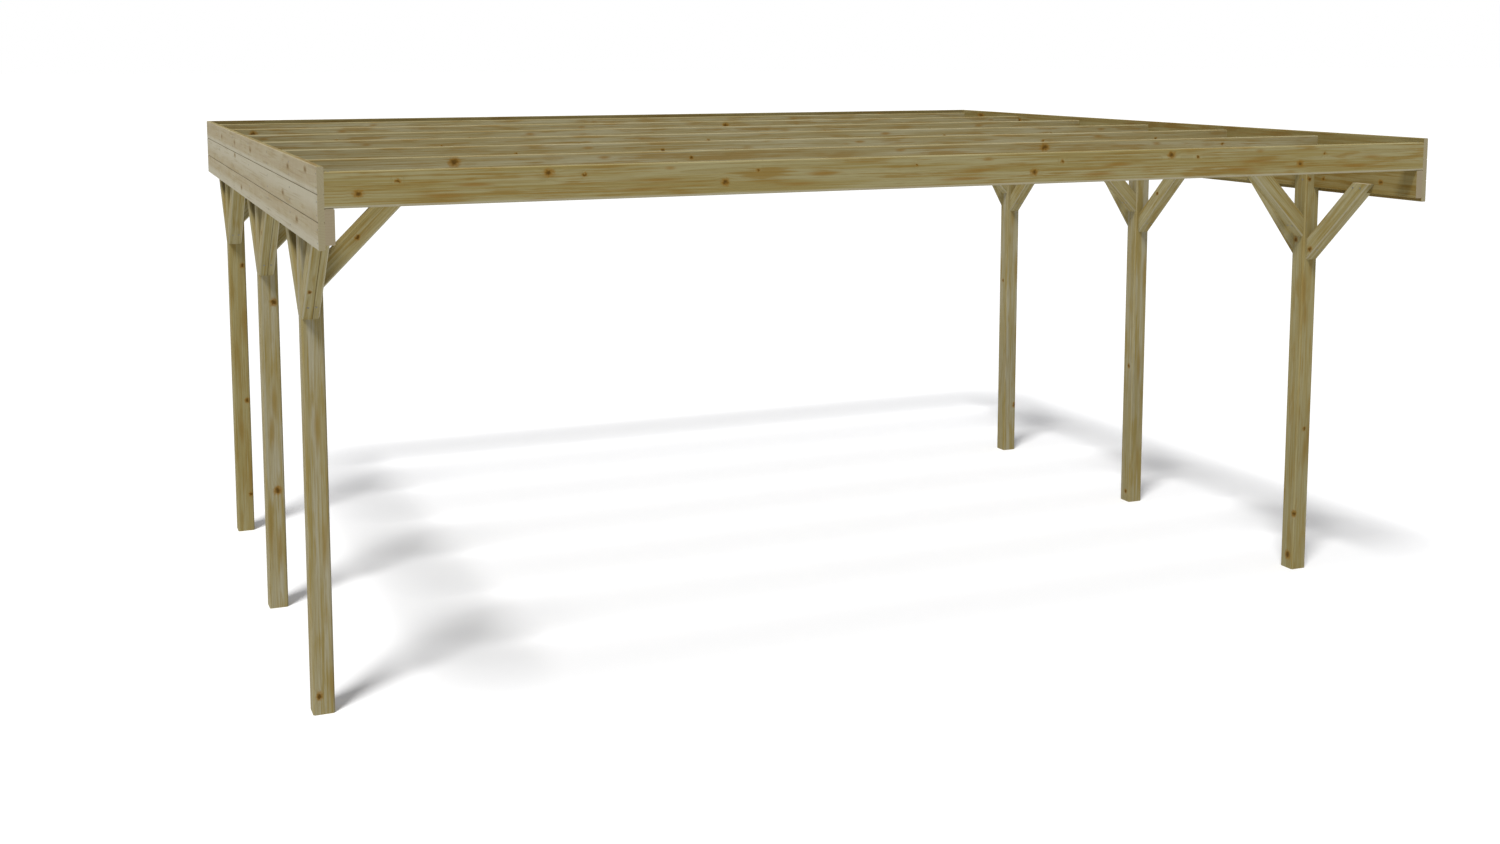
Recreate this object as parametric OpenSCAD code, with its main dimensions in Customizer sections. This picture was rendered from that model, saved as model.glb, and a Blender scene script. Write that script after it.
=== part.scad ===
// Open double carport in planed, pressure-treated timber. Three posts a side carry a purlin, rafters
// lie across the two purlins, and boarded fascias close both sides and the back. Lapped knee braces
// stiffen every post head. Millimetres, +Z up, +Y to the back, origin on the ground in the middle.

/* [Overall] */
// Width over the side fascias
carport_w = 5850; // [4200:10:7200]
// Depth from the front edge to the back of the back fascia
carport_d = 4950; // [4200:10:6400]
// Height from the ground to the top of the fascias
carport_h = 2600; // [2300:10:3200]

/* [Posts] */
// Side of the square posts
post_w = 100; // [90:1:140]
// Chamfer along the edges of the posts
post_chamfer = 7; // [2:1:14]

/* [Purlins and rafters] */
// Thickness of the purlins
purlin_t = 40; // [35:1:60]
// Height of the purlins
purlin_h = 150; // [110:1:220]
// Thickness of the rafters
rafter_t = 40; // [35:1:60]
// Height of the rafters
rafter_h = 150; // [110:1:220]
// Number of rafters, counted from front to back
rafter_count = 7; // [5:2:9]
// Chamfer along the edges of the purlins and rafters
beam_chamfer = 4; // [1:1:10]

/* [Fascias] */
// Thickness of the fascia boards
fascia_t = 28; // [18:1:40]
// Height of one fascia board
board_h = 114; // [95:1:140]
// How far the fascias stand above the rafters
fascia_rise = 22; // [0:1:50]
// Chamfer along the edges of the fascia boards, which makes the V-grooves between them
board_chamfer = 3; // [1:1:8]

/* [Braces] */
// Height of the brace section, measured across the slope
brace_h = 92; // [70:1:120]
// Run of a purlin brace from the post face to where its lower edge meets the purlin's underside
brace_reach = 420; // [320:5:520]
// How much further a rafter brace runs than a purlin brace
cross_extra = 15; // [0:1:60]
// Thickness of the tongue that laps the inner face of the purlin
brace_tongue = 40; // [25:1:55]
// How far the tongue, or the fork over a rafter, reaches up the face of the beam
brace_lap = 54; // [30:1:90]
// Chamfer along the edges of the braces
brace_chamfer = 7; // [2:1:12]

/* [Joints] */
// Play between a housed beam and the cheek of its notch
notch_play = 0.5; // [0:0.1:0.9]

/* [Hidden] */
SIDES = ["left", "right"];
ROWS = ["front", "middle", "back"];
BOARDS = ["bottom", "middle", "top"];
BRACES = ["forward", "rearward", "inward"];

POST_COLOUR = "#8f8460";
BEAM_COLOUR = "#8c7f55";
FASCIA_COLOUR = "#a59b7d";
BRACE_COLOUR = "#958a5f";

// Levels, from the fascia tops down
rafter_z = carport_h - fascia_rise - rafter_h;
purlin_z = rafter_z - purlin_h;
fascia_z = carport_h - len(BOARDS) * board_h;

// The roof frame lies inside the fascias: the sides, and the back one behind the last rafter
front_y = -carport_d / 2;
frame_d = carport_d - fascia_t;
frame_w = carport_w - 2 * fascia_t;
rafter_pitch = (frame_d - rafter_t) / (rafter_count - 1);

// The posts stand under the second, the middle and the last but one of the rafters
POST_RAFTERS = [2, (rafter_count + 1) / 2, rafter_count - 1];

// A brace is as thick as the purlin it stands under and its tongue together
brace_t = purlin_t + brace_tongue;

// Run of a rafter brace from the post face to where its lower edge meets the rafter's underside
cross_reach = brace_reach + cross_extra;

// Room in front of a post's face that holds a whole brace
brace_room = cross_reach + brace_lap + brace_h;

// Front face of a rafter, counted from 1 at the front
function rafter_y(i) = front_y + (i - 1) * rafter_pitch;

// Front face of a post, which is centred under its rafter
function post_y(row) =
    rafter_y(POST_RAFTERS[search([row], ROWS)[0]]) + (rafter_t - post_w) / 2;

// Section of a planed timber with its four long edges chamfered
module section(w, h, chamfer) {
    polygon([
        [chamfer, 0], [w - chamfer, 0], [w, chamfer], [w, h - chamfer],
        [w - chamfer, h], [chamfer, h], [0, h - chamfer], [0, chamfer]
    ]);
}

// Timber lying along +X, w wide in Y and h high
module timber_x(length, w, h, chamfer) {
    rotate([90, 0, 90])
        linear_extrude(length)
            section(w, h, chamfer);
}

// Timber lying along +Y, w wide in X and h high
module timber_y(length, w, h, chamfer) {
    translate([0, length, 0])
        rotate([90, 0, 0])
            linear_extrude(length)
                section(w, h, chamfer);
}

// Frame of one side: X runs inward from the outer face of its fascia
module on_side(side) {
    mirror([side == "right" ? 1 : 0, 0, 0])
        translate([-carport_w / 2, 0, 0])
            children();
}

// Post with its outer half cut away at the head, so that the purlin sits on the shoulder
module post(row, side) {
    color(POST_COLOUR)
        on_side(side)
            translate([fascia_t, post_y(row), 0])
                difference() {
                    linear_extrude(rafter_z)
                        section(post_w, post_w, post_chamfer);
                    translate([-post_w, -post_w, purlin_z])
                        cube([post_w + purlin_t + notch_play, 3 * post_w, 2 * purlin_h]);
                }
}

// Purlin along one side, flush with the outer faces of the posts
module purlin(side) {
    color(BEAM_COLOUR)
        on_side(side)
            translate([fascia_t, front_y, purlin_z])
                timber_y(frame_d, purlin_t, purlin_h, beam_chamfer);
}

// Rafter across both purlins, from one side fascia to the other
module rafter(i) {
    color(BEAM_COLOUR)
        translate([-frame_w / 2, rafter_y(i), rafter_z])
            timber_x(frame_w, rafter_t, rafter_h, beam_chamfer);
}

// Board of a side fascia, which runs the whole depth
module side_board(side, level) {
    color(FASCIA_COLOUR)
        on_side(side)
            translate([0, front_y, fascia_z + level * board_h])
                timber_y(carport_d, fascia_t, board_h, board_chamfer);
}

// Board of the back fascia, which fits between the side fascias
module back_board(level) {
    color(FASCIA_COLOUR)
        translate([-frame_w / 2, front_y + frame_d, fascia_z + level * board_h])
            timber_x(frame_w, fascia_t, board_h, board_chamfer);
}

// Knee brace at 45 degrees: X runs out from the post, Y across the brace, and Z up from the underside of
// the beam that lies at beam_y. It butts on the post and under the beam, and its head laps the beam's sides.
module brace(reach, beam_y, beam_t) {
    difference() {
        intersection() {
            translate([0, 0, -reach])
                rotate([0, -45, 0])
                    translate([-brace_h, 0, 0])
                        timber_x(2 * brace_room, brace_t, brace_h, brace_chamfer);
            translate([0, 0, -brace_room])
                cube([brace_room, brace_t, brace_room + brace_lap]);
        }
        translate([-brace_h, beam_y - notch_play, 0])
            cube([2 * brace_room, beam_t + 2 * notch_play, 2 * brace_lap]);
    }
}

// Brace from one post: forward or rearward with one tongue inside its purlin, flush with the post outside,
// or inward from the middle of the post with a forked head over the rafter
module post_brace(row, side, way) {
    color(BRACE_COLOUR)
        on_side(side)
            if (way == "forward") {
                translate([fascia_t, post_y(row), purlin_z])
                    rotate([0, 0, -90])
                        brace(brace_reach, 0, purlin_t);
            } else if (way == "rearward") {
                translate([fascia_t, post_y(row) + post_w, purlin_z])
                    mirror([0, 1, 0])
                        rotate([0, 0, -90])
                            brace(brace_reach, 0, purlin_t);
            } else {
                translate([fascia_t + post_w, post_y(row) + (post_w - brace_t) / 2, rafter_z])
                    brace(cross_reach, (brace_t - rafter_t) / 2, rafter_t);
            }
}

for (row = ROWS, side = SIDES) {
    post(row, side);
}
for (side = SIDES) {
    purlin(side);
}
for (i = [1 : rafter_count]) {
    rafter(i);
}
for (side = SIDES, level = [0 : len(BOARDS) - 1]) {
    side_board(side, level);
}
for (level = [0 : len(BOARDS) - 1]) {
    back_board(level);
}
for (row = ROWS, side = SIDES, way = BRACES) {
    post_brace(row, side, way);
}
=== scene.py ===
"""Looks of an open timber carport: treated pine on every timber of the frame, screws at its joints,
soft light, a pale floor and the camera. Metres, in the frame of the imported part."""

import math
import random
from types import SimpleNamespace

import bmesh
import bpy
from mathutils import Euler, Matrix, Vector


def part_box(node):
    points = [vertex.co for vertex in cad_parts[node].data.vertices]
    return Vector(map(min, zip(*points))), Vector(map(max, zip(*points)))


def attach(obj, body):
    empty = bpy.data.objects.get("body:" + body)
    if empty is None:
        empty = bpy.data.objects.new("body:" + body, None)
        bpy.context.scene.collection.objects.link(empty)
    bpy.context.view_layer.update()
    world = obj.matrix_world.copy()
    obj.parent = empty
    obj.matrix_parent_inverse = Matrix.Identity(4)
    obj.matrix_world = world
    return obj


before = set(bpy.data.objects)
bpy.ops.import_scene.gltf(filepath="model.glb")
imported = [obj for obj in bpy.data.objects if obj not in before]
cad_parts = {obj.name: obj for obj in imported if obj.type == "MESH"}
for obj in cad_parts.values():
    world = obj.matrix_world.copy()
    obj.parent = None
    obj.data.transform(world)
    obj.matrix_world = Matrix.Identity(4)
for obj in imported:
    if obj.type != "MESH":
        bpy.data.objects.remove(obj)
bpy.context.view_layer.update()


def linear(code):
    """sRGB hex colour as linear red, green, blue and alpha."""
    parts = [int(code[i : i + 2], 16) / 255 for i in (1, 3, 5)]
    return [p / 12.92 if p <= 0.04045 else ((p + 0.055) / 1.055) ** 2.4 for p in parts] + [1.0]


def add(tree, kind, inputs=None, **settings):
    """A new node of the tree, with its settings, and with values or other nodes' sockets on its inputs."""
    node = tree.nodes.new(kind)
    for name, value in settings.items():
        setattr(node, name, value)
    for socket, value in (inputs or {}).items():
        if isinstance(value, bpy.types.NodeSocket):
            tree.links.new(value, node.inputs[socket])
        else:
            node.inputs[socket].default_value = value
    return node


def new_material(name):
    """A new material, its node tree, and the output node that is all the tree holds."""
    material = bpy.data.materials.new(name)
    material.use_nodes = True
    material.node_tree.nodes.clear()
    return material, material.node_tree, material.node_tree.nodes.new("ShaderNodeOutputMaterial")


def looked_at(tree):
    """1 for a ray that the camera looks along, straight or by gloss or glass, and 0 for light on the
    object."""
    rays = add(tree, "ShaderNodeLightPath").outputs
    seen = add(
        tree, "ShaderNodeMath", {0: rays["Is Camera Ray"], 1: rays["Is Glossy Ray"]}, operation="ADD"
    ).outputs[0]
    return add(
        tree, "ShaderNodeMath", {0: seen, 1: rays["Is Transmission Ray"]}, operation="ADD", use_clamp=True
    ).outputs[0]


# Camera in front and to the left, a little above the roof, with a 40 mm lens
camera = bpy.data.objects.new("camera", bpy.data.cameras.new("camera"))
camera.data.lens = 40
camera.data.shift_y = -0.12
camera.location = (-3.913, -9.328, 3.054)
camera.rotation_euler = (math.radians(90 - 6.46), 0, math.radians(-22.81))
bpy.context.scene.collection.objects.link(camera)
bpy.context.scene.camera = camera

# Soft sun from the front left, which draws the shadows to the back right
SUN_FALL = Vector((0.85, 0.86, -2.3))
sun = bpy.data.objects.new("soft_sun", bpy.data.lights.new("soft_sun", "SUN"))
sun.data.energy = 3.0
sun.data.angle = math.radians(13.5)
sun.rotation_euler = SUN_FALL.to_track_quat("-Z", "Y").to_euler()
bpy.context.scene.collection.objects.link(sun)

# World: even, weak light on the object, and plain white where the camera or a gloss looks past it
world = bpy.data.worlds.new("studio")
world.use_nodes = True
bpy.context.scene.world = world
sky = world.node_tree
sky.nodes.clear()
weak = add(sky, "ShaderNodeBackground", {"Color": linear("#f8f9ff"), "Strength": 0.23}).outputs[0]
white = add(sky, "ShaderNodeBackground", {"Color": linear("#ffffff"), "Strength": 1.0}).outputs[0]
both = add(sky, "ShaderNodeMixShader", {0: looked_at(sky), 1: weak, 2: white}).outputs[0]
add(sky, "ShaderNodeOutputWorld", {"Surface": both})

# Matt floor paint: pale grey to the light that it throws back on the timber, and near white to the camera,
# with a small lift, so that the lit floor is plain white and only the shadow shows
FLOOR_LIFT = 0.105
FLOOR_HALF = 250
material, tree, out = new_material("matt_floor_paint")
direct = looked_at(tree)
coat = add(
    tree, "ShaderNodeMix", {0: direct, 6: linear("#e8e8e6"), 7: linear("#f9f9f9")}, data_type="RGBA"
).outputs[2]
paint = add(tree, "ShaderNodeBsdfDiffuse", {"Color": coat}).outputs[0]
lift = add(tree, "ShaderNodeMath", {0: direct, 1: FLOOR_LIFT}, operation="MULTIPLY").outputs[0]
glow = add(tree, "ShaderNodeEmission", {"Color": linear("#ffffff"), "Strength": lift}).outputs[0]
lifted = add(tree, "ShaderNodeAddShader", {0: paint, 1: glow}).outputs[0]
tree.links.new(lifted, out.inputs["Surface"])
sheet = bmesh.new()
bmesh.ops.create_grid(sheet, x_segments=1, y_segments=1, size=FLOOR_HALF)
floor = bpy.data.objects.new("floor", bpy.data.meshes.new("floor"))
sheet.to_mesh(floor.data)
sheet.free()
floor.data.materials.append(material)
bpy.context.scene.collection.objects.link(floor)

# Tones of the planed timbers: pale sapwood, olive body, honey-brown heartwood and its deepest stains.
# A timber takes the tones of its own name, or else of its row or kind.
TONES = {
    "post": ("#a7a188", "#998d63", "#91804a", "#8b753c"),
    "post_back_left": ("#9f9770", "#948655", "#8b7740", "#876e34"),
    "post_front_right": ("#a09873", "#96895a", "#8f7b45", "#886f36"),
    "purlin": ("#918356", "#826f3b", "#7a6024", "#775a1c"),
    "rafter": ("#a59d7c", "#978a60", "#8d7644", "#8a6b34"),
    "rafter_1": ("#a1986f", "#948552", "#8b7136", "#896728"),
    "fascia": ("#958a5e", "#867645", "#7d632d", "#775a25"),
    "fascia_back": ("#8a8058", "#7a6c42", "#715b2c", "#6b5326"),
    "brace": ("#aaa27e", "#9a8e60", "#8f7b41", "#8a7036"),
    "brace_front_left_inward": ("#a59b73", "#968856", "#8c763d", "#866b33"),
}

# Tones of the sawn ends
END_TONES = {
    "post": "#aea183", "purlin": "#9e9176", "rafter": "#aea183", "fascia": "#a09677", "brace": "#aea183",
}

# A face whose normal has more than this share along the grain is a sawn end, as a brace's 45 degree cut is
END_SHARE = 0.6

# Purlins and rafters are cut from one kind of log, so their knots and stains come back after a bay
BAY = 3.214

# Knots of some purlins and rafters: where the first bay starts, then each knot's place along the bay, its
# place up the face and its radius. Others have three of the front rafter's knots.
BEAM_KNOTS = {
    "rafter_1": (-2.86, [
        (0.10, -0.017, 0.012), (0.26, 0.031, 0.007), (0.90, 0.047, 0.013), (1.06, 0.033, 0.006),
        (1.71, -0.017, 0.012), (1.87, 0.031, 0.006), (2.67, 0.033, 0.004),
    ]),
    "rafter_2": (-2.90, [(0.72, 0.048, 0.016), (1.90, 0.040, 0.006)]),
    "purlin_right": (-2.46, [(0.26, -0.007, 0.010), (0.71, -0.019, 0.008)]),
}

# Heartwood stains in half a bay: place along it, place up the face and half length
STAINS = [
    (0.46, -0.036, 0.13), (0.58, 0.008, 0.10), (1.32, -0.037, 0.16), (1.41, 0.002, 0.14),
    (1.45, 0.052, 0.04),
]

# Knots of the fascia boards: place along the board and up its face
BOARD_KNOTS = {
    "bottom": [(-1.85, 0.015), (0.40, -0.01)],
    "middle": [(-1.40, -0.015), (0.70, 0.04)],
    "top": [(-2.15, 0.025), (-1.60, 0.005), (-0.10, 0.0), (0.70, 0.0), (1.45, 0.0)],
}

# Pale band of sapwood on each fascia board: where it starts and where it is full, up the face
BOARD_BANDS = {"bottom": (0.01, -0.03), "middle": (-0.04, 0.03), "top": (-0.025, -0.045)}

# Edges of a fascia board that meet another board, where the shade in the V-joint is painted dark: 1 above
# and -1 below. The painted shade starts this far from the middle of the board, and is full a little further.
JOINTS = {"bottom": (1,), "middle": (1, -1), "top": (-1,)}
JOINT_START = 0.0535
JOINT_FULL = 0.056

# The sawn outer face of a fascia board, with its chamfers, lies further than this from the board's middle
SAWN_OUT = 0.0095

# Knots of the posts: height above the ground, place to the right and to the back of the middle, and radius
POST_KNOTS = {
    "post_front_left": [(0.09, -0.02, -0.05, 0.011), (1.30, 0.05, 0.01, 0.009)],
    "post_middle_left": [(0.665, 0.012, -0.05, 0.015), (1.71, 0.022, -0.05, 0.013)],
    "post_back_left": [
        (0.24, 0.034, -0.05, 0.009), (0.85, 0.03, -0.05, 0.011), (1.72, 0.028, -0.05, 0.010),
    ],
    "post_front_right": [
        (0.08, -0.05, -0.01, 0.016), (0.34, -0.045, -0.045, 0.012), (0.85, 0.005, -0.05, 0.008),
        (1.97, -0.05, 0.02, 0.011), (2.33, -0.026, -0.05, 0.009),
    ],
    "post_middle_right": [(0.07, -0.05, -0.01, 0.010), (0.94, -0.05, -0.01, 0.010)],
    "post_back_right": [(0.35, 0.04, -0.05, 0.012), (1.32, -0.05, 0.0, 0.008)],
}

# Height of a brace across its slope, its thickness and its chamfer
BRACE_H = 0.092
BRACE_T = 0.08
CHAMFER = 0.007

# Knots of some braces: place along the grain, across the brace and up its face, and radius. Others lie by
# chance.
BRACE_KNOTS = {
    "brace_front_left_forward": (-0.13, -0.02, -0.046, 0.007),
    "brace_front_left_inward": (-0.07, -0.04, 0.0, 0.008),
    "brace_front_right_forward": (-0.27, -0.04, -0.02, 0.011),
    "brace_middle_right_forward": (0.0, -0.04, 0.01, 0.008),
    "brace_back_right_forward": (-0.02, -0.04, 0.01, 0.008),
}

# Braces that split along the grain as the timber dried, which shows on the underside
SPLIT_BRACES = ("brace_front_left_forward", "brace_middle_left_forward", "brace_back_right_rearward")

# How far the ragged edge of a knot strays along the grain, across it and up the face, from end to end
RAGGED = (0.028, 0, 0.020)

# Growth rings as drawn. Real ones are 2 to 4 mm apart, too fine to show.
RING_GAP = 0.011


def grain_of(node):
    """Direction in which the timber of a node grew."""
    leaning = {
        "forward": Vector((0, -1, 1)),
        "rearward": Vector((0, 1, 1)),
        "inward": Vector((-1 if "right" in node else 1, 0, 1)),
    }
    if node.startswith("brace"):
        return leaning[node.split("_")[-1]].normalized()
    if node.startswith("post"):
        return Vector((0, 0, 1))
    return Vector((1, 0, 0)) if node.startswith(("rafter", "fascia_back")) else Vector((0, 1, 0))


def timber_axes(node):
    """Middle of a timber, and the turn that lays local X along its grain."""
    low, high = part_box(node)
    middle = (low + high) / 2
    if node.startswith("post"):
        return middle, Euler((0, -math.pi / 2, 0))
    turn = grain_of(node).to_track_quat("X", "Z")
    if node.startswith("brace"):
        # The middle of a brace's box lies on its underside
        middle = middle + turn @ Vector((0, 0, BRACE_H / 2))
    return middle, turn.to_euler()


def knots_and_stains(node, middle, bay_knots, luck):
    """Ellipsoids of knots and of heartwood stains in a timber's own axes, each a place and three radii."""
    if node.startswith("post"):
        knots = [((z - middle.z, y, -x), (1.2 * r, r, r)) for z, x, y, r in POST_KNOTS[node]]
        stains = [
            (
                (luck.uniform(-1.1, 1.1), -0.05, luck.uniform(-0.04, 0.04)),
                (luck.uniform(0.1, 0.2), 0.03, 0.02),
            )
            for _ in range(4)
        ]
    elif node.startswith("brace"):
        chance = (luck.uniform(-0.2, 0.2), luck.choice((-0.04, 0.04)), luck.uniform(-0.02, 0.02), 0.008)
        *spot, r = BRACE_KNOTS.get(node, chance)
        knots = [(spot, (1.25 * r, r, r))]
        stains = [((luck.uniform(-0.2, 0.2), 0, luck.uniform(-0.03, 0.03)), (0.13, 0.06, 0.014))]
    elif node.startswith("fascia"):
        way = 1 if "left" in node else -1
        knots = [((way * x, 0, z), (0.035, 0.06, 0.012)) for x, z in BOARD_KNOTS[node.split("_")[-1]]]
        stains = [
            (
                (luck.uniform(-2.4, 2.4), 0, luck.uniform(-0.04, 0.04)),
                (luck.uniform(0.1, 0.2), 0.08, 0.012),
            )
            for _ in range(6)
        ]
    else:
        knots = [((x, 0, z), (1.3 * r, 0.06, r)) for x, z, r in bay_knots]
        stains = [
            ((start + x, 0, z), (half, 0.08, 0.012)) for x, z, half in STAINS for start in (0, BAY / 2)
        ]
    return knots, stains


def nearest(tree, spot, blobs):
    """How near a spot is to the closest ellipsoid: 0 in its middle, 1 on its skin."""
    near = 99.0
    for place, radii in blobs:
        into = add(
            tree,
            "ShaderNodeMapping",
            {"Vector": spot, "Location": place, "Scale": radii},
            vector_type="TEXTURE",
        ).outputs[0]
        gap = add(tree, "ShaderNodeVectorMath", {0: into}, operation="LENGTH").outputs["Value"]
        near = add(tree, "ShaderNodeMath", {0: gap, 1: near}, operation="MINIMUM").outputs[0]
    return near


def streaks(tree, log, length, width, detail):
    """Noise drawn out along the grain, in patches of about this length and width in metres."""
    at = add(
        tree, "ShaderNodeVectorMath", {0: log, 1: (1 / length, 1 / width, 1 / width)}, operation="MULTIPLY"
    ).outputs[0]
    return add(tree, "ShaderNodeTexNoise", {"Vector": at, "Scale": 1.0, "Detail": detail}).outputs[0]


def layered(tree, base, layers):
    """Colour built up from a base. Each layer has a value, where it starts, where it is full, its most and
    its tone."""
    colour = linear(base)
    for value, start, full, most, tone in layers:
        amount = add(
            tree,
            "ShaderNodeMapRange",
            {"Value": value, "From Min": start, "From Max": full, "To Max": most},
            interpolation_type="SMOOTHSTEP",
        ).outputs[0]
        colour = add(
            tree, "ShaderNodeMix", {0: amount, 6: colour, 7: linear(tone)}, data_type="RGBA"
        ).outputs[2]
    return colour


def growth_rings(tree, timber, wander, swirl, luck):
    """Latewood of the rings round a pith beside the timber: at each ring it rises to 1 and falls off."""
    pith = (0, luck.uniform(-0.09, 0.09), luck.choice((-1, 1)) * luck.uniform(0.03, 0.12))
    away = add(tree, "ShaderNodeVectorMath", {0: timber, 1: pith}, operation="SUBTRACT").outputs[0]
    away = add(tree, "ShaderNodeVectorMath", {0: away, 1: (0.012, 1, 1)}, operation="MULTIPLY").outputs[0]
    away = add(tree, "ShaderNodeVectorMath", {0: away}, operation="LENGTH").outputs["Value"]
    away = add(tree, "ShaderNodeMath", {0: wander, 1: 0.022, 2: away}, operation="MULTIPLY_ADD").outputs[0]
    away = add(tree, "ShaderNodeMath", {0: swirl, 1: 0.012, 2: away}, operation="MULTIPLY_ADD").outputs[0]
    ring = add(tree, "ShaderNodeMath", {0: away, 1: 1 / RING_GAP}, operation="MULTIPLY").outputs[0]
    ring = add(tree, "ShaderNodeMath", {0: ring}, operation="FRACT").outputs[0]
    return add(tree, "ShaderNodeMath", {0: ring, 1: 2.5}, operation="POWER").outputs[0]


def knots_in(tree, node, middle, wood, luck):
    """How near a spot of a timber is to its knots and to its stains. Knots have a ragged edge, and on a
    purlin or rafter knots and stains come back after a bay."""
    along = wood.along
    others = (luck.uniform(-BAY, 0), luck.sample(BEAM_KNOTS["rafter_1"][1], 3))
    first, bay_knots = BEAM_KNOTS.get(node, others)
    if node.startswith(("purlin", "rafter")):
        along = add(tree, "ShaderNodeMath", {0: along, 1: first}, operation="SUBTRACT").outputs[0]
        along = add(tree, "ShaderNodeMath", {0: along, 1: BAY, 2: 0.0}, operation="WRAP").outputs[0]
    spot = add(tree, "ShaderNodeCombineXYZ", {0: along, 1: wood.across, 2: wood.up}).outputs[0]
    stray = add(
        tree, "ShaderNodeTexNoise", {"Vector": wood.log, "Scale": 70.0, "Detail": 2.0}
    ).outputs["Color"]
    ragged = add(
        tree, "ShaderNodeVectorMath", {0: stray, 1: RAGGED, 2: spot}, operation="MULTIPLY_ADD"
    ).outputs[0]
    half = [size / 2 for size in RAGGED]
    ragged = add(tree, "ShaderNodeVectorMath", {0: ragged, 1: half}, operation="SUBTRACT").outputs[0]
    knots, stains = knots_and_stains(node, middle, bay_knots, luck)
    return nearest(tree, ragged, knots), nearest(tree, spot, stains)


def timber_values(tree, node, luck):
    """What a timber's finish is drawn from: places in its own axes, nearness to knots, and its grain."""
    middle, turn = timber_axes(node)
    wood = SimpleNamespace()

    # The timber's own axes, X along the grain and Y and Z across it, and its place in a log of its own
    place = add(tree, "ShaderNodeTexCoord").outputs["Object"]
    timber = add(
        tree,
        "ShaderNodeMapping",
        {"Vector": place, "Location": middle, "Rotation": turn},
        vector_type="TEXTURE",
    ).outputs[0]
    start = [luck.uniform(0, 40) for _ in "xyz"]
    wood.log = add(tree, "ShaderNodeVectorMath", {0: timber, 1: start}, operation="ADD").outputs[0]
    wood.along, wood.across, wood.up = add(tree, "ShaderNodeSeparateXYZ", {0: timber}).outputs
    wood.knot, stain = knots_in(tree, node, middle, wood, luck)
    swirl = add(
        tree, "ShaderNodeMapRange", {"Value": wood.knot, "From Min": 4.0, "From Max": 0.5}
    ).outputs[0]

    # Streaks of the grain. Fibres are finer than a hair, and are drawn 5 mm wide to show
    wood.wander = streaks(tree, wood.log, 1.1, 0.16, 1.0)
    wood.band = streaks(tree, wood.log, 0.7, 0.03, 3.0)
    patch = streaks(tree, wood.log, 0.24, 0.04, 3.0)
    wood.lines = streaks(tree, wood.log, 0.40, 0.008, 4.0)
    wood.fibre = streaks(tree, wood.log, 0.10, 0.005, 3.0)
    wood.latewood = growth_rings(tree, timber, wood.wander, swirl, luck)

    # Heartwood patches and stains are broken up by the lines
    wood.streaky = add(
        tree, "ShaderNodeMath", {0: wood.lines, 1: 0.6, 2: patch}, operation="MULTIPLY_ADD"
    ).outputs[0]
    wood.brushed = add(
        tree, "ShaderNodeMath", {0: wood.lines, 1: 1.6, 2: stain}, operation="MULTIPLY_ADD"
    ).outputs[0]
    return wood


def brace_layers(tree, node, wood):
    """Layers that only a brace has. The chamfers of its underside are painted paler, a painted highlight:
    they are the only places near both of their faces. Its upper face is painted darker, painted shade, and
    some braces have a split."""
    top = BRACE_H / 2 - CHAMFER
    beside = add(tree, "ShaderNodeMath", {0: wood.across}, operation="ABSOLUTE").outputs[0]
    beside = add(
        tree, "ShaderNodeMath", {0: beside, 1: BRACE_T / 2 - CHAMFER}, operation="SUBTRACT"
    ).outputs[0]
    below = add(
        tree, "ShaderNodeMath", {0: wood.up, 1: -1.0, 2: -top}, operation="MULTIPLY_ADD"
    ).outputs[0]
    edge = add(tree, "ShaderNodeMath", {0: beside, 1: below}, operation="MINIMUM").outputs[0]
    # Painted highlight on the underside chamfers, and painted shade darkening the upper face
    layers = [(edge, 0.0, 0.0005, 0.7, "#bab294"), (wood.up, top, top + 0.001, 0.6, "#7d6e42")]
    if node in SPLIT_BRACES:
        crack = add(
            tree, "ShaderNodeMath", {0: wood.wander, 1: 0.03, 2: wood.across}, operation="MULTIPLY_ADD"
        ).outputs[0]
        crack = add(tree, "ShaderNodeMath", {0: crack, 1: 0.022}, operation="SUBTRACT").outputs[0]
        crack = add(tree, "ShaderNodeMath", {0: crack}, operation="ABSOLUTE").outputs[0]
        layers.append((crack, 0.0022, 0.001, 0.8, "#4a3a1c"))
    return layers


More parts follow.
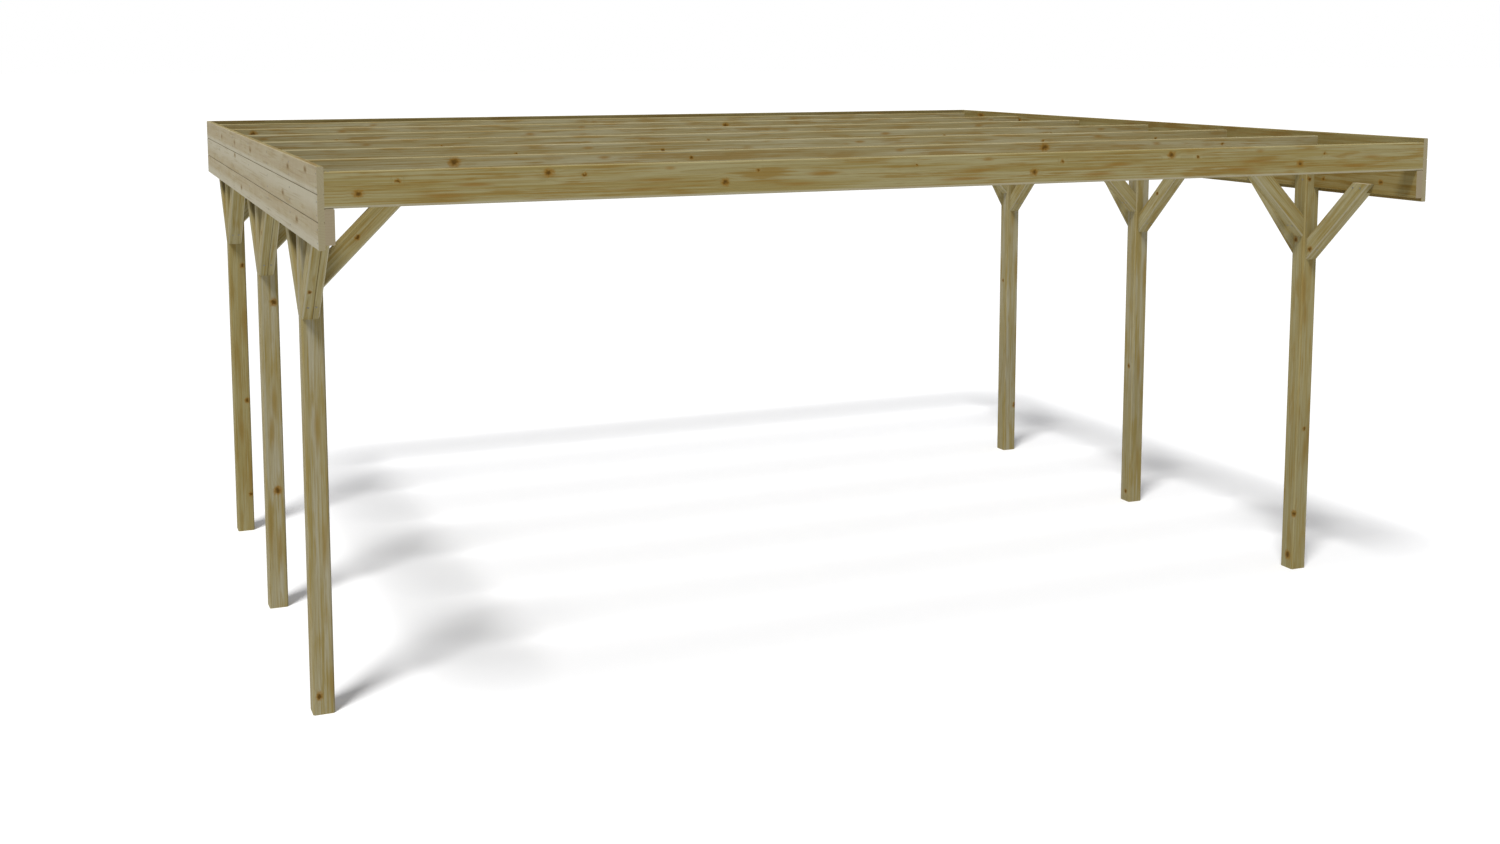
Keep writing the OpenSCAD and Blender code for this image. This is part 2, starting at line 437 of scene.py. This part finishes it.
def with_sawn_face(tree, node, wood, colour, height):
    """Colour and height of a fascia board with its fine-sawn outer face: the grain in paler, greyer tones,
    and saw marks up the board, drawn 7 mm wide to show."""
    outward = -1 if "right" in node else 1
    depth = add(tree, "ShaderNodeMath", {0: wood.across, 1: outward}, operation="MULTIPLY").outputs[0]
    sawn = add(tree, "ShaderNodeMath", {0: depth, 1: SAWN_OUT}, operation="GREATER_THAN").outputs[0]
    at = add(
        tree, "ShaderNodeVectorMath", {0: wood.log, 1: (1 / 0.007, 1, 1 / 0.12)}, operation="MULTIPLY"
    ).outputs[0]
    mark = add(tree, "ShaderNodeTexNoise", {"Vector": at, "Scale": 1.0, "Detail": 3.0}).outputs[0]
    level = node.split("_")[-1]
    band_start, band_full = BOARD_BANDS[level]
    layers = [
        (wood.band, 0.42, 0.66, 0.6, "#aea588"),
        (wood.streaky, 0.78, 1.0, 0.7, "#9a8a63"),
        (wood.up, band_start, band_full, 0.8, "#b8b29c"),
        (wood.lines, 0.53, 0.69, 0.5, "#94866a"),
        (mark, 0.50, 0.72, 0.3, "#8f8363"),
        (mark, 0.50, 0.28, 0.25, "#b6ac91"),
        (wood.knot, 2.0, 0.8, 0.6, "#86703f"),
        (wood.knot, 1.1, 0.4, 0.7, "#664d22"),
    ]
    # Painted shade in the V-joints between boards
    layers += [(wood.up, edge * JOINT_START, edge * JOINT_FULL, 0.8, "#6a5f44") for edge in JOINTS[level]]
    tone = layered(tree, "#a5987a", layers)
    colour = add(tree, "ShaderNodeMix", {0: sawn, 6: colour, 7: tone}, data_type="RGBA").outputs[2]
    height = add(tree, "ShaderNodeMix", {0: sawn, 2: height, 3: mark}).outputs[0]
    return colour, height


def with_sawn_ends(tree, node, wood, colour):
    """Colour of a timber with its sawn ends, which are pale grey end grain with its rings."""
    facing = add(tree, "ShaderNodeNewGeometry").outputs["Normal"]
    facing = add(
        tree, "ShaderNodeVectorMath", {0: facing, 1: grain_of(node)}, operation="DOT_PRODUCT"
    ).outputs["Value"]
    facing = add(tree, "ShaderNodeMath", {0: facing}, operation="ABSOLUTE").outputs[0]
    end = add(tree, "ShaderNodeMath", {0: facing, 1: END_SHARE}, operation="GREATER_THAN").outputs[0]
    tone = layered(tree, END_TONES[node.split("_")[0]], [(wood.latewood, 0.2, 1.0, 0.5, "#97886a")])
    return add(tree, "ShaderNodeMix", {0: end, 6: colour, 7: tone}, data_type="RGBA").outputs[2]


def treated_pine(node):
    """Planed, pressure-treated pine for one timber. The salts leave it olive, with pale sapwood bands and
    honey-brown heartwood along the grain, soft latewood lines and orange-brown knots. The fascia boards have
    a fine-sawn outer face, paler and greyer, with saw marks across the grain."""
    kind = node.split("_")[0]
    material, tree, out = new_material("planed_treated_pine_" + node)
    wood = timber_values(tree, node, random.Random(node))
    names = (node, node.rsplit("_", 1)[0], kind)
    pale, olive, honey, deep = next(TONES[name] for name in names if name in TONES)
    layers = [
        (wood.band, 0.42, 0.66, 0.9, pale),
        (wood.streaky, 0.78, 1.0, 0.85, honey),
        (wood.lines, 0.47, 0.31, 0.7, pale),
        (wood.lines, 0.53, 0.69, 0.6, honey),
        (wood.latewood, 0.0, 1.0, 0.25, "#7d6a38"),
        (wood.fibre, 0.50, 0.75, 0.4, "#857646"),
        (wood.brushed, 1.9, 0.9, 0.8, deep),
        (wood.knot, 2.1, 0.8, 0.85, "#8a6318"),
        (wood.knot, 1.15, 0.4, 0.9, "#543a08"),
    ]
    if kind == "rafter":
        # Paler along the lower edge, and a painted highlight on the top face
        layers += [(wood.up, -0.063, -0.067, 0.75, "#b0a98f"), (wood.up, 0.0725, 0.074, 0.15, "#b3a97e")]
    if kind == "brace":
        layers += brace_layers(tree, node, wood)
    colour = layered(tree, olive, layers)
    height = add(
        tree, "ShaderNodeMath", {0: wood.latewood, 1: 0.5, 2: wood.fibre}, operation="MULTIPLY_ADD"
    ).outputs[0]
    if kind == "fascia":
        colour, height = with_sawn_face(tree, node, wood, colour, height)
    colour = with_sawn_ends(tree, node, wood, colour)

    rough = add(
        tree,
        "ShaderNodeMapRange",
        {"Value": wood.fibre, "From Min": 0.3, "From Max": 0.7, "To Min": 0.66, "To Max": 0.82},
    ).outputs[0]
    bump = add(tree, "ShaderNodeBump", {"Height": height, "Strength": 0.35, "Distance": 0.0012}).outputs[0]
    pine = add(
        tree,
        "ShaderNodeBsdfPrincipled",
        {"Base Color": colour, "Roughness": rough, "Normal": bump, "Specular IOR Level": 0.15},
    ).outputs[0]
    tree.links.new(pine, out.inputs["Surface"])
    return material


for node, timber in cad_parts.items():
    timber.material_slots[0].material = treated_pine(node)

# Zinc plate dulled by the weather: a grey metal without a mirror, blotched in its gloss
zinc, tree, out = new_material("dull_zinc_plate")
place = add(tree, "ShaderNodeTexCoord").outputs["Object"]
blotch = add(tree, "ShaderNodeTexNoise", {"Vector": place, "Scale": 400.0, "Detail": 2.0}).outputs[0]
gloss = add(tree, "ShaderNodeMapRange", {"Value": blotch, "To Min": 0.35, "To Max": 0.65}).outputs[0]
steel = add(
    tree,
    "ShaderNodeBsdfPrincipled",
    {"Base Color": linear("#8b887e"), "Metallic": 0.85, "Roughness": gloss},
).outputs[0]
tree.links.new(steel, out.inputs["Surface"])

# Screws: width of a head on the frame and on the boards, height of its rim, how far a lap's screws lie below
# the top of the lap, half the spread of a pair, and the same on a post's cheek
FRAME_SCREW = 0.011
BOARD_SCREW = 0.007
RIM = 0.0012
LAP_DOWN = 0.027
PAIR = 0.028
CHEEK_PAIR = 0.02

# Screws of a brace's foot: how far they lie from its tip, and half their spread
FOOT_UP = 0.09
FOOT_PAIR = 0.018

# How far the outermost screws of a back board lie from its ends
BOARD_END = 0.02

UP = Vector((0, 0, 1))


def screw_head(across):
    """One star-drive screw head on its seat: a low rim, a domed edge and a six-pointed recess."""
    head = bmesh.new()
    bmesh.ops.create_cone(
        head, cap_ends=True, segments=12, radius1=across / 2, radius2=across / 2, depth=RIM
    )
    bmesh.ops.translate(head, verts=head.verts[:], vec=(0, 0, RIM / 2))
    crown = [max(head.faces, key=lambda face: face.calc_center_median().z)]
    bmesh.ops.inset_individual(head, faces=crown, thickness=0.12 * across, depth=0.04 * across)
    bmesh.ops.inset_individual(head, faces=crown, thickness=0.12 * across)
    bmesh.ops.scale(head, verts=list(crown[0].verts)[::2], vec=(0.75, 0.75, 1))
    recess = bmesh.ops.extrude_discrete_faces(head, faces=crown)["faces"]
    bmesh.ops.translate(head, verts=recess[0].verts[:], vec=(0, 0, -0.75 * RIM))
    bmesh.ops.recalc_face_normals(head, faces=head.faces[:])
    mesh = bpy.data.meshes.new("screw_head")
    head.to_mesh(mesh)
    head.free()
    return mesh


def add_screws(name, spots, across):
    """Screw heads as one piece: each spot is a place on a timber's face and the way that the face looks."""
    one = screw_head(across)
    heads = bmesh.new()
    for place, way in spots:
        done = len(heads.verts)
        heads.from_mesh(one)
        heads.verts.ensure_lookup_table()
        stand = Matrix.Translation(place) @ way.to_track_quat("Z", "Y").to_matrix().to_4x4()
        bmesh.ops.transform(heads, matrix=stand, verts=heads.verts[done:])
    piece = bpy.data.objects.new(name, bpy.data.meshes.new(name))
    heads.to_mesh(piece.data)
    heads.free()
    piece.data.materials.append(zinc)
    bpy.context.scene.collection.objects.link(piece)
    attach(piece, "root")


def brace_spots(node):
    """Two screws up through a brace's foot into the post, and two through each lap of its head."""
    low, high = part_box(node)
    grain = grain_of(node)
    run = Vector((grain.x, grain.y, 0)).normalized()
    side = UP.cross(run)
    half_run, half_side = [abs(way.dot(high - low)) / 2 for way in (run, side)]
    tip = (low + high) / 2 - run * half_run
    tip.z = low.z
    under = (run - UP).normalized()
    spots = [(tip + FOOT_UP * grain + s * FOOT_PAIR * side, under) for s in (-1, 1)]
    lap = tip + run * (high.z - LAP_DOWN - low.z - BRACE_H / math.sqrt(2))
    lap.z = high.z - LAP_DOWN
    inward = Vector((-1 if "right" in node else 1, 0, 0))
    faces = (side, -side) if node.endswith("inward") else (inward,)
    return spots + [(lap + half_side * face + s * PAIR * run, face) for face in faces for s in (-1, 1)]


posts, purlins, rafters, boards, braces = [
    [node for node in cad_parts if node.startswith(kind)]
    for kind in ("post", "purlin", "rafter", "fascia", "brace")
]
add_screws("brace_screws", [spot for node in braces for spot in brace_spots(node)], FRAME_SCREW)

# Purlins are held from inside through the cheeks of the posts, and rafters from above
spots = []
for node in posts:
    low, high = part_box(node)
    middle = (low + high) / 2
    inner, way = (low.x, -1) if "right" in node else (high.x, 1)
    beam_low, beam_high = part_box("purlin_right" if "right" in node else "purlin_left")
    for s in (-1, 1):
        place = Vector((inner, middle.y + s * CHEEK_PAIR, (beam_low.z + beam_high.z) / 2 + s * PAIR))
        spots.append((place, Vector((way, 0, 0))))
for node in rafters:
    low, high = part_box(node)
    for beam in purlins:
        across = sum(corner.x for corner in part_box(beam)) / 2
        spots.append((Vector((across, (low.y + high.y) / 2, high.z)), UP))
add_screws("beam_screws", spots, FRAME_SCREW)

# Side boards have a pair of screws at every rafter end. Back boards have theirs along the last rafter, or at
# the purlin ends.
spots = []
for node in boards:
    low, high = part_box(node)
    middle = (low + high) / 2
    if "back" in node:
        reach = 0.5 * (high.x - low.x) - BOARD_END
        count = 2 if "bottom" in node else 8
        for i in range(count):
            for s in (1,) if "middle" in node else (-1, 1):
                place = Vector((reach * (2 * i / (count - 1) - 1), high.y, middle.z + s * PAIR))
                spots.append((place, Vector((0, 1, 0))))
    else:
        outer, way = (high.x, 1) if "right" in node else (low.x, -1)
        for rafter in rafters:
            along = sum(corner.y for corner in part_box(rafter)) / 2
            for s in (-1, 1):
                spots.append((Vector((outer, along, middle.z + s * PAIR)), Vector((way, 0, 0))))
add_screws("board_screws", spots, BOARD_SCREW)

bpy.context.scene.view_settings.view_transform = "Standard"
